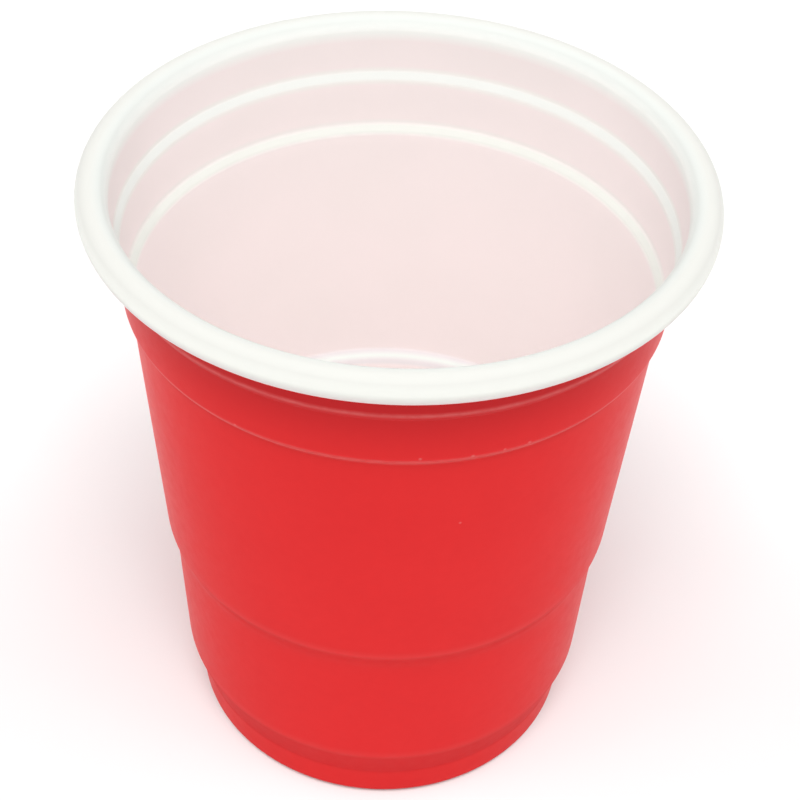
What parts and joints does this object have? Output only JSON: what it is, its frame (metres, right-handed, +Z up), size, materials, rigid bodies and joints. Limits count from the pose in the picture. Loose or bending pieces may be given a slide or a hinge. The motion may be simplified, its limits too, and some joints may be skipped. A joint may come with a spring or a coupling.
{
  "type": "plastic shot cup",
  "caption": "Small disposable drinking cup formed from plastic sheet, red outside and white inside, with a rolled rim, stepped ledges round the wall and a recessed base.",
  "frame": {"origin": "middle of the cup's footprint, on the surface that it stands on", "axes": "+Z up along the cup's axis of revolution, towards the open rim; +X and +Y are any two directions across it"},
  "size_m": [0.05, 0.05, 0.0569],
  "materials": {
    "cup_sheet": "satin"
  },
  "bodies": {
    "root": {"cup": "cup_sheet"}
  },
  "joints": []
}
